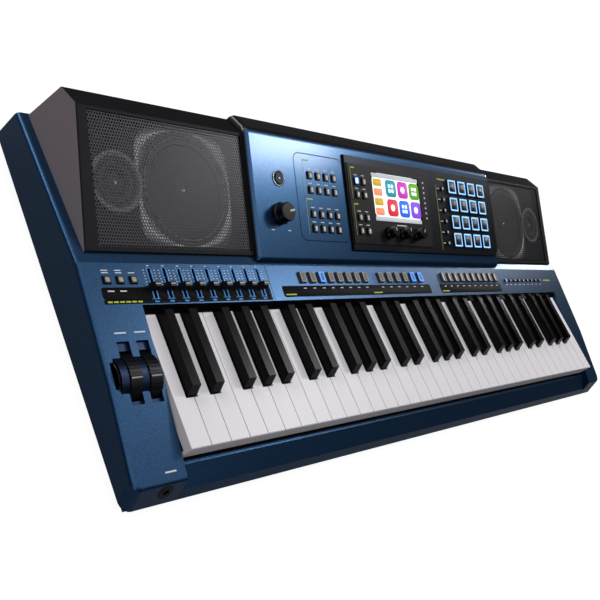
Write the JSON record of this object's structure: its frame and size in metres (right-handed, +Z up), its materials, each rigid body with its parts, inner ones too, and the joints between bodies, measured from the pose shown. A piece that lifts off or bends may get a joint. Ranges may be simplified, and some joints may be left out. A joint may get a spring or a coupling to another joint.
{
  "type": "arranger keyboard",
  "caption": "Blue arranger keyboard with a full set of keys, a tilted console with touch screen, knobs and pads, drawbar sliders, two wheels and built-in speakers.",
  "frame": {"origin": "on the table, under the middle of the case", "axes": "+X along the keys to the player's right, +Y away from the player, +Z up"},
  "size_m": [0.948, 0.382, 0.1186],
  "materials": {
    "bezel_brown": "gloss dark brown",
    "board_green": "solder-mask green",
    "button_dark": "satin dark grey",
    "button_grey": "satin warm grey",
    "chassis_grey": "matte moulded grey",
    "cone_black": "black paper cone with rubber surround",
    "felt_red": "dense felt",
    "foot_rubber": "matte rubber",
    "gloss_black": "gloss black",
    "grille_black": "black painted perforated sheet",
    "key_black": "satin black",
    "key_white": "gloss white",
    "matte_black": "matte black",
    "metallic_blue": "gloss metallic blue paint",
    "navy_panel": "satin dark navy",
    "pad_dark": "satin dark pad with a lit edge",
    "screen_blue": "lit screen under clear cover",
    "screw_steel": "blackened steel",
    "socket_black": "matte black",
    "speaker_grey": "matte grey-brown grain",
    "spring_steel": "bare spring steel",
    "wheel_dark": "ribbed dark rubber"
  },
  "bodies": {
    "frame": {"case_screws": "screw_steel", "console_housing": "metallic_blue", "display_bezel": "bezel_brown", "fallboard_strip": "gloss_black", "key_bed": "chassis_grey", "key_contact_board": "board_green", "key_springs": "spring_steel", "left_speaker_box": "speaker_grey", "lower_case": "matte_black", "main_circuit_board": "board_green", "performance_panel": "navy_panel", "phones_jack": "socket_black", "rear_jacks": "socket_black", "right_speaker_box": "speaker_grey", "rubber_feet": "foot_rubber", "speaker_grilles": "grille_black", "stop_felt": "felt_red", "strip_circuit_board": "board_green", "touch_screen": "screen_blue", "tweeters": "cone_black", "upper_case": "metallic_blue", "wheel_barrel": "metallic_blue", "woofers": "cone_black"},
    "white_keys_c": {"white_keys_c": "key_white"},
    "white_keys_d": {"white_keys_d": "key_white"},
    "white_keys_e": {"white_keys_e": "key_white"},
    "white_keys_f": {"white_keys_f": "key_white"},
    "white_keys_g": {"white_keys_g": "key_white"},
    "white_keys_a": {"white_keys_a": "key_white"},
    "white_keys_b": {"white_keys_b": "key_white"},
    "black_keys_c_sharp": {"black_keys_c_sharp": "key_black"},
    "black_keys_d_sharp": {"black_keys_d_sharp": "key_black"},
    "black_keys_f_sharp": {"black_keys_f_sharp": "key_black"},
    "black_keys_g_sharp": {"black_keys_g_sharp": "key_black"},
    "black_keys_a_sharp": {"black_keys_a_sharp": "key_black"},
    "pitch_bend_wheel": {"pitch_bend_wheel": "wheel_dark"},
    "modulation_wheel": {"modulation_wheel": "wheel_dark"},
    "volume_knob": {"volume_knob": "matte_black"},
    "control_dial_1": {"control_dial_1": "matte_black"},
    "control_dial_2": {"control_dial_2": "matte_black"},
    "control_dial_3": {"control_dial_3": "matte_black"},
    "drawbar_slider_1": {"drawbar_slider_1": "button_dark"},
    "drawbar_slider_2": {"drawbar_slider_2": "button_dark"},
    "drawbar_slider_3": {"drawbar_slider_3": "button_dark"},
    "drawbar_slider_4": {"drawbar_slider_4": "button_dark"},
    "drawbar_slider_5": {"drawbar_slider_5": "button_dark"},
    "drawbar_slider_6": {"drawbar_slider_6": "button_dark"},
    "drawbar_slider_7": {"drawbar_slider_7": "button_dark"},
    "drawbar_slider_8": {"drawbar_slider_8": "button_dark"},
    "drawbar_slider_9": {"drawbar_slider_9": "button_dark"},
    "tone_buttons": {"tone_buttons": "button_dark"},
    "menu_buttons": {"menu_buttons": "button_dark"},
    "pad_bank_buttons": {"pad_bank_buttons": "button_dark"},
    "power_button": {"power_button": "matte_black"},
    "phrase_pads": {"phrase_pads": "pad_dark"},
    "organ_buttons": {"organ_buttons": "button_dark"},
    "rhythm_buttons": {"rhythm_buttons": "button_grey"},
    "start_buttons": {"start_buttons": "button_grey"},
    "memory_buttons": {"memory_buttons": "button_grey"},
    "mode_buttons": {"mode_buttons": "button_dark"}
  },
  "joints": [
    {"name": "white_keys_c_dip", "type": "hinge", "parent": "frame", "child": "white_keys_c", "pos_m": [0, 0.06, 0.04], "axis": [1, 0, 0], "range_deg": [0, 2.6], "stiffness_Nm_per_rad": 4, "springref_deg": -14.32},
    {"name": "white_keys_d_dip", "type": "hinge", "parent": "frame", "child": "white_keys_d", "pos_m": [0, 0.06, 0.04], "axis": [1, 0, 0], "range_deg": [0, 2.6], "stiffness_Nm_per_rad": 4, "springref_deg": -14.32},
    {"name": "white_keys_e_dip", "type": "hinge", "parent": "frame", "child": "white_keys_e", "pos_m": [0, 0.06, 0.04], "axis": [1, 0, 0], "range_deg": [0, 2.6], "stiffness_Nm_per_rad": 4, "springref_deg": -14.32},
    {"name": "white_keys_f_dip", "type": "hinge", "parent": "frame", "child": "white_keys_f", "pos_m": [0, 0.06, 0.04], "axis": [1, 0, 0], "range_deg": [0, 2.6], "stiffness_Nm_per_rad": 4, "springref_deg": -14.32},
    {"name": "white_keys_g_dip", "type": "hinge", "parent": "frame", "child": "white_keys_g", "pos_m": [0, 0.06, 0.04], "axis": [1, 0, 0], "range_deg": [0, 2.6], "stiffness_Nm_per_rad": 4, "springref_deg": -14.32},
    {"name": "white_keys_a_dip", "type": "hinge", "parent": "frame", "child": "white_keys_a", "pos_m": [0, 0.06, 0.04], "axis": [1, 0, 0], "range_deg": [0, 2.6], "stiffness_Nm_per_rad": 4, "springref_deg": -14.32},
    {"name": "white_keys_b_dip", "type": "hinge", "parent": "frame", "child": "white_keys_b", "pos_m": [0, 0.06, 0.04], "axis": [1, 0, 0], "range_deg": [0, 2.6], "stiffness_Nm_per_rad": 4, "springref_deg": -14.32},
    {"name": "black_keys_c_sharp_dip", "type": "hinge", "parent": "frame", "child": "black_keys_c_sharp", "pos_m": [0, 0.06, 0.04], "axis": [1, 0, 0], "range_deg": [0, 2.4], "stiffness_Nm_per_rad": 2.5, "springref_deg": -14.32},
    {"name": "black_keys_d_sharp_dip", "type": "hinge", "parent": "frame", "child": "black_keys_d_sharp", "pos_m": [0, 0.06, 0.04], "axis": [1, 0, 0], "range_deg": [0, 2.4], "stiffness_Nm_per_rad": 2.5, "springref_deg": -14.32},
    {"name": "black_keys_f_sharp_dip", "type": "hinge", "parent": "frame", "child": "black_keys_f_sharp", "pos_m": [0, 0.06, 0.04], "axis": [1, 0, 0], "range_deg": [0, 2.4], "stiffness_Nm_per_rad": 2.5, "springref_deg": -14.32},
    {"name": "black_keys_g_sharp_dip", "type": "hinge", "parent": "frame", "child": "black_keys_g_sharp", "pos_m": [0, 0.06, 0.04], "axis": [1, 0, 0], "range_deg": [0, 2.4], "stiffness_Nm_per_rad": 2.5, "springref_deg": -14.32},
    {"name": "black_keys_a_sharp_dip", "type": "hinge", "parent": "frame", "child": "black_keys_a_sharp", "pos_m": [0, 0.06, 0.04], "axis": [1, 0, 0], "range_deg": [0, 2.4], "stiffness_Nm_per_rad": 2.5, "springref_deg": -14.32},
    {"name": "pitch_bend_wheel_turn", "type": "hinge", "parent": "frame", "child": "pitch_bend_wheel", "pos_m": [-0.4487, -0.085, 0.0335], "axis": [1, 0, 0], "range_deg": [-30, 30], "stiffness_Nm_per_rad": 0.04},
    {"name": "modulation_wheel_turn", "type": "hinge", "parent": "frame", "child": "modulation_wheel", "pos_m": [-0.428, -0.085, 0.0335], "axis": [1, 0, 0], "range_deg": [-30, 30]},
    {"name": "volume_knob_turn", "type": "hinge", "parent": "frame", "child": "volume_knob", "pos_m": [-0.214, 0.06821, 0.0854], "axis": [0, -0.3746, 0.9272], "range_deg": [-150, 150]},
    {"name": "control_dial_1_turn", "type": "hinge", "parent": "frame", "child": "control_dial_1", "pos_m": [-0.018, 0.05523, 0.08016], "axis": [0, -0.3746, 0.9272], "range_deg": [-150, 150]},
    {"name": "control_dial_2_turn", "type": "hinge", "parent": "frame", "child": "control_dial_2", "pos_m": [0.013, 0.05523, 0.08016], "axis": [0, -0.3746, 0.9272], "range_deg": [-150, 150]},
    {"name": "control_dial_3_turn", "type": "hinge", "parent": "frame", "child": "control_dial_3", "pos_m": [0.044, 0.05523, 0.08016], "axis": [0, -0.3746, 0.9272], "range_deg": [-150, 150]},
    {"name": "drawbar_slider_1_slide", "type": "slide", "parent": "frame", "child": "drawbar_slider_1", "axis": [0, 0.9948, 0.1019], "range_m": [-0.0085, 0.0165]},
    {"name": "drawbar_slider_2_slide", "type": "slide", "parent": "frame", "child": "drawbar_slider_2", "axis": [0, 0.9948, 0.1019], "range_m": [-0.0085, 0.0165]},
    {"name": "drawbar_slider_3_slide", "type": "slide", "parent": "frame", "child": "drawbar_slider_3", "axis": [0, 0.9948, 0.1019], "range_m": [-0.0085, 0.0165]},
    {"name": "drawbar_slider_4_slide", "type": "slide", "parent": "frame", "child": "drawbar_slider_4", "axis": [0, 0.9948, 0.1019], "range_m": [-0.0085, 0.0165]},
    {"name": "drawbar_slider_5_slide", "type": "slide", "parent": "frame", "child": "drawbar_slider_5", "axis": [0, 0.9948, 0.1019], "range_m": [-0.0085, 0.0165]},
    {"name": "drawbar_slider_6_slide", "type": "slide", "parent": "frame", "child": "drawbar_slider_6", "axis": [0, 0.9948, 0.1019], "range_m": [-0.0085, 0.0165]},
    {"name": "drawbar_slider_7_slide", "type": "slide", "parent": "frame", "child": "drawbar_slider_7", "axis": [0, 0.9948, 0.1019], "range_m": [-0.0085, 0.0165]},
    {"name": "drawbar_slider_8_slide", "type": "slide", "parent": "frame", "child": "drawbar_slider_8", "axis": [0, 0.9948, 0.1019], "range_m": [-0.0085, 0.0165]},
    {"name": "drawbar_slider_9_slide", "type": "slide", "parent": "frame", "child": "drawbar_slider_9", "axis": [0, 0.9948, 0.1019], "range_m": [-0.0085, 0.0165]},
    {"name": "tone_buttons_press", "type": "slide", "parent": "frame", "child": "tone_buttons", "axis": [0, 0.3746, -0.9272], "range_m": [0, 0.0015], "stiffness_N_per_m": 600, "springref_m": -0.0012},
    {"name": "menu_buttons_press", "type": "slide", "parent": "frame", "child": "menu_buttons", "axis": [0, 0.3746, -0.9272], "range_m": [0, 0.0015], "stiffness_N_per_m": 600, "springref_m": -0.0012},
    {"name": "pad_bank_buttons_press", "type": "slide", "parent": "frame", "child": "pad_bank_buttons", "axis": [0, 0.3746, -0.9272], "range_m": [0, 0.0015], "stiffness_N_per_m": 600, "springref_m": -0.0012},
    {"name": "power_button_press", "type": "slide", "parent": "frame", "child": "power_button", "axis": [0, 0.3746, -0.9272], "range_m": [0, 0.0015], "stiffness_N_per_m": 600, "springref_m": -0.0012},
    {"name": "phrase_pads_press", "type": "slide", "parent": "frame", "child": "phrase_pads", "axis": [0, 0.3746, -0.9272], "range_m": [0, 0.0012], "stiffness_N_per_m": 2000, "springref_m": -0.0012},
    {"name": "organ_buttons_press", "type": "slide", "parent": "frame", "child": "organ_buttons", "axis": [0, 0.1019, -0.9948], "range_m": [0, 0.0015], "stiffness_N_per_m": 600, "springref_m": -0.0012},
    {"name": "rhythm_buttons_press", "type": "slide", "parent": "frame", "child": "rhythm_buttons", "axis": [0, 0.1019, -0.9948], "range_m": [0, 0.0015], "stiffness_N_per_m": 600, "springref_m": -0.0012},
    {"name": "start_buttons_press", "type": "slide", "parent": "frame", "child": "start_buttons", "axis": [0, 0.1019, -0.9948], "range_m": [0, 0.0015], "stiffness_N_per_m": 600, "springref_m": -0.0012},
    {"name": "memory_buttons_press", "type": "slide", "parent": "frame", "child": "memory_buttons", "axis": [0, 0.1019, -0.9948], "range_m": [0, 0.0015], "stiffness_N_per_m": 600, "springref_m": -0.0012},
    {"name": "mode_buttons_press", "type": "slide", "parent": "frame", "child": "mode_buttons", "axis": [0, 0.1019, -0.9948], "range_m": [0, 0.0015], "stiffness_N_per_m": 600, "springref_m": -0.0012}
  ]
}
